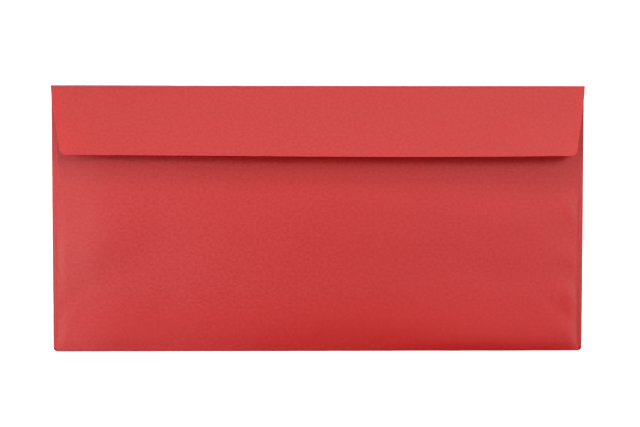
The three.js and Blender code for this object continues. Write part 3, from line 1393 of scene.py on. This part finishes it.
@dataclass
class ClosingStrip:
    """The adhesive strip on the flap's inside and the liner that covers it.

    Attributes:
        other_edge: how far off in the same pattern the upper edge's waves are taken.
        layer: their place off the flat sheet, so that their patterns are their own.
    """

    sizes: EnvelopeSizes
    flap: ClosingFlap
    corner_radius: float = 1.0
    corner_points: int = 7
    step: float = 1.3
    wander: float = 0.12
    wander_cell: float = 5.0
    other_edge: float = 40.0
    bulge: float = 0.01
    layer: float = 9.0

    def strip(self, node: str, wander: float, seed: int) -> Sheet:
        """Lays a thin strip that follows the flap's inside.

        Args:
            node: the CAD node that it stands for.
            wander: how unsteady its long edges are, in millimetres.
            seed: what makes its edges its own.

        Returns:
            The sheet, its outside facing away from the flap.
        """
        box, radius = self.sizes.on_flap(node), self.corner_radius
        ends = (box.high.x - radius * (1 - np.sin(quarter(self.corner_points))))[1:]
        x = np.concatenate([-ends[::-1], spread(-ends[0], ends[0], self.step)[1:-1], ends])
        inset = rounding(np.abs(x) - box.high.x + radius, radius)
        uneven = Cockle(self.wander_cell, wander, seed)
        low = box.low.y + inset + np.abs(uneven.lift(x, 0 * x))
        high = box.high.y - inset - np.abs(uneven.lift(x, 0 * x + self.other_edge))
        share = np.linspace(0, 1, round((box.high.y - box.low.y) / self.step) + 1)[:, None]
        y = low + (high - low) * share
        below_flap = self.flap.inside_height(x, -y) - self.flap.top
        bottom, top = (points(x, y, z + below_flap) for z in (box.low.z, box.high.z))
        outside, inside = self.sizes.off_flap(bottom), self.sizes.off_flap(top)
        return Sheet(outside, inside, points(x, -y, self.layer), bulge=self.bulge)

    def build(self, finishes: Finishes) -> None:
        """Builds and dresses the adhesive and the liner.

        Args:
            finishes: the envelope's materials.
        """
        adhesive = self.strip("flap_adhesive", self.wander, 14)
        lay(adhesive, "flap_adhesive", finishes.adhesive, "flap")
        liner = self.strip("release_liner", 0.0, 15)
        lay(liner, "release_liner", finishes.liner, "liner")


# Studio

ALL_COLOURS_CURVE = 3


@dataclass(frozen=True)
class SoftBox:
    """A soft rectangular light that faces the envelope.

    Attributes:
        bearing: its direction over the table, in degrees from +Y towards +X.
        elevation: how high it stands over the table, in degrees.
        away: how far it is from the envelope's middle, in metres.
    """

    name: str
    bearing: float
    elevation: float
    power: float
    width: float = 0.5
    height: float = 0.20
    away: float = 1.5

    def build(self) -> None:
        """Hangs the light."""
        light = bpy.data.lights.new(self.name, "AREA")
        light.shape = "RECTANGLE"
        light.size = self.width
        light.size_y = self.height
        light.energy = self.power
        bearing, elevation = math.radians(self.bearing), math.radians(self.elevation)
        level, up = self.away * math.cos(elevation), self.away * math.sin(elevation)
        place = Vector((level * math.sin(bearing), level * math.cos(bearing), up))
        lamp = add(self.name, light)
        lamp.location = place
        lamp.rotation_euler = (-place).to_track_quat("-Z", "Y").to_euler()


@dataclass
class Studio:
    """A pale table, soft light and the camera that the photograph was taken from.

    Attributes:
        table_drop: how far under the envelope the table lies, so that the two never coincide.
        table_glow: how much light it gives off, so that it looks as white as in the photograph.
        air: the strength of the even light from all round.
        toe: points of the picture's tone curve, as the light and what is shown of it.
    """

    table_half: float = 3.0
    table_drop: float = 2e-5
    table_colour: Colour = (0.90, 0.90, 0.90)
    table_glow: float = 0.95
    air: float = 0.02
    toe: tuple[Point, ...] = ((0.022, 0.006), (0.034, 0.016), (0.05, 0.040), (0.09, 0.088))
    lens: float = 85.0
    camera_place: Triple = (-10.08, 35.75, 624.60)
    camera_turn: Triple = (-3.067, -0.986, 0.027)
    lights: tuple[SoftBox, ...] = (
        SoftBox("low_window", 0.0, 15.0, 11.4),
        SoftBox("right_window_foot", 56.0, 17.0, 5.1, width=0.35),
        SoftBox("right_window_middle", 56.0, 29.0, 6.0, width=0.35),
        SoftBox("right_window_head", 40.0, 50.0, 1.9),
        SoftBox("left_window_foot", 320.0, 20.0, 3.0),
        SoftBox("left_window_head", 320.0, 35.0, 1.3),
        SoftBox("left_fill_foot", 280.0, 8.0, 7.1),
        SoftBox("left_fill_middle", 280.0, 20.0, 8.9),
        SoftBox("back_left_fill_foot", 250.0, 12.0, 1.8),
        SoftBox("back_left_fill_head", 250.0, 50.0, 3.1),
        SoftBox("right_fill", 98.0, 54.0, 1.3),
    )

    def table(self) -> None:
        """Lays the table."""
        half = self.table_half
        corners = [(-half, -half, 0), (half, -half, 0), (half, half, 0), (-half, half, 0)]
        mesh = bpy.data.meshes.new("table")
        mesh.from_pydata(corners, [], [(0, 1, 2, 3)])
        table = add("table", mesh)
        table.location.z = -self.table_drop
        shader = Shader("pale_table")
        shader.set_surface({
            "Base Color": rgba(self.table_colour),
            "Roughness": 0.9,
            "Specular IOR Level": 0.0,
            "Emission Color": WHITE,
            "Emission Strength": self.table_glow,
        })
        mesh.materials.append(shader.material)

    def camera(self) -> None:
        """Sets the camera at the photograph's angle."""
        data = bpy.data.cameras.new("camera")
        data.lens = self.lens
        camera = add("camera", data)
        camera.location = Vector(self.camera_place) * MM
        camera.rotation_euler = Euler([math.radians(angle) for angle in self.camera_turn])
        bpy.context.scene.camera = camera

    def air_light(self) -> None:
        """Fills the room with a little even white light."""
        world = bpy.data.worlds.new("room")
        world.use_nodes = True
        background = world.node_tree.nodes["Background"]
        background.inputs["Color"].default_value = WHITE
        background.inputs["Strength"].default_value = self.air
        bpy.context.scene.world = world

    def tone_curve(self) -> None:
        """Gives the picture the toe that a camera's tone curve has, so deep shade goes deeper."""
        view = bpy.context.scene.view_settings
        view.view_transform = "Standard"
        view.use_curve_mapping = True
        curve = view.curve_mapping.curves[ALL_COLOURS_CURVE]
        for light, shown in self.toe:
            curve.points.new(light, shown)
        for point in curve.points:
            point.handle_type = "VECTOR"
        view.curve_mapping.update()

    def build(self) -> None:
        """Sets up the table, the lights and the camera."""
        self.table()
        self.camera()
        self.air_light()
        for light in self.lights:
            light.build()
        self.tone_curve()


def main() -> None:
    """Builds the envelope and its studio, in order."""
    logging.basicConfig(level=logging.INFO, format="%(name)s: %(message)s")
    sizes = EnvelopeSizes()
    finishes = Finishes.build()
    FrontPanel(sizes).build(finishes)
    Folds(sizes).build(finishes)
    SeamFlaps(sizes).build(finishes)
    BackPanel(sizes).build(finishes)
    flap = ClosingFlap(sizes)
    flap.build(finishes)
    ClosingStrip(sizes, flap).build(finishes)
    Studio().build()


if __name__ == "__main__":
    main()
